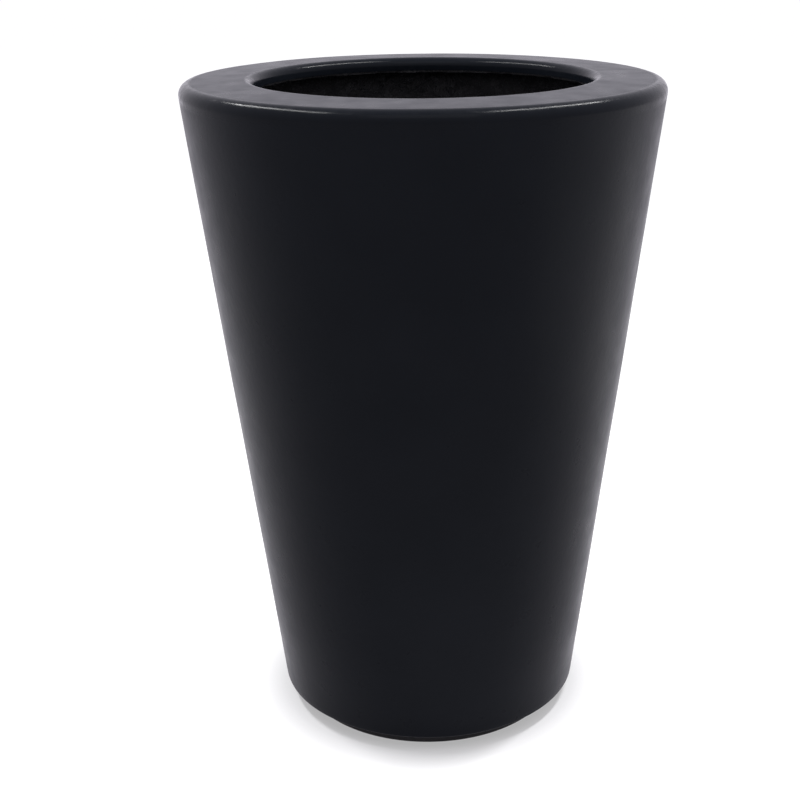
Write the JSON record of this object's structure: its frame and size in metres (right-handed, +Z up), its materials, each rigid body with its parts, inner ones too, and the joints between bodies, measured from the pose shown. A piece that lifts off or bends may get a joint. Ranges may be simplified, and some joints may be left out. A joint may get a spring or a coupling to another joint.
{
  "type": "floor planter",
  "caption": "Tall tapered round floor planter with a wide rolled rim, a recessed foot and a rubber drain plug; holds soil or a liner pot.",
  "frame": {"origin": "on the ground at the middle of the foot ring", "axes": "+Z up along the planter's turning axis; -Y is the side that faces the picture's camera"},
  "size_m": [0.508, 0.508, 0.711],
  "materials": {
    "black_paint": "satin charcoal-black paint over a smooth laminate",
    "raw_laminate": "rough chopped-strand mat, wetted out in black resin",
    "bonding_resin": "brushed black resin paste",
    "foot_paint": "flat black paint",
    "core_foam": "closed-cell foam, sealed in the laminate",
    "black_rubber": "moulded matt black rubber"
  },
  "bodies": {
    "planter": {"outer_shell": "black_paint", "rim_core": "core_foam", "mat_lining": "raw_laminate", "floor_panel": "raw_laminate", "floor_fillet": "bonding_resin", "foot_ring": "foot_paint"},
    "plug": {"drain_plug": "black_rubber"}
  },
  "joints": [
    {"name": "plug_pull", "type": "slide", "parent": "planter", "child": "plug", "axis": [0, 0, 1], "range_m": [0, 0.72]}
  ]
}
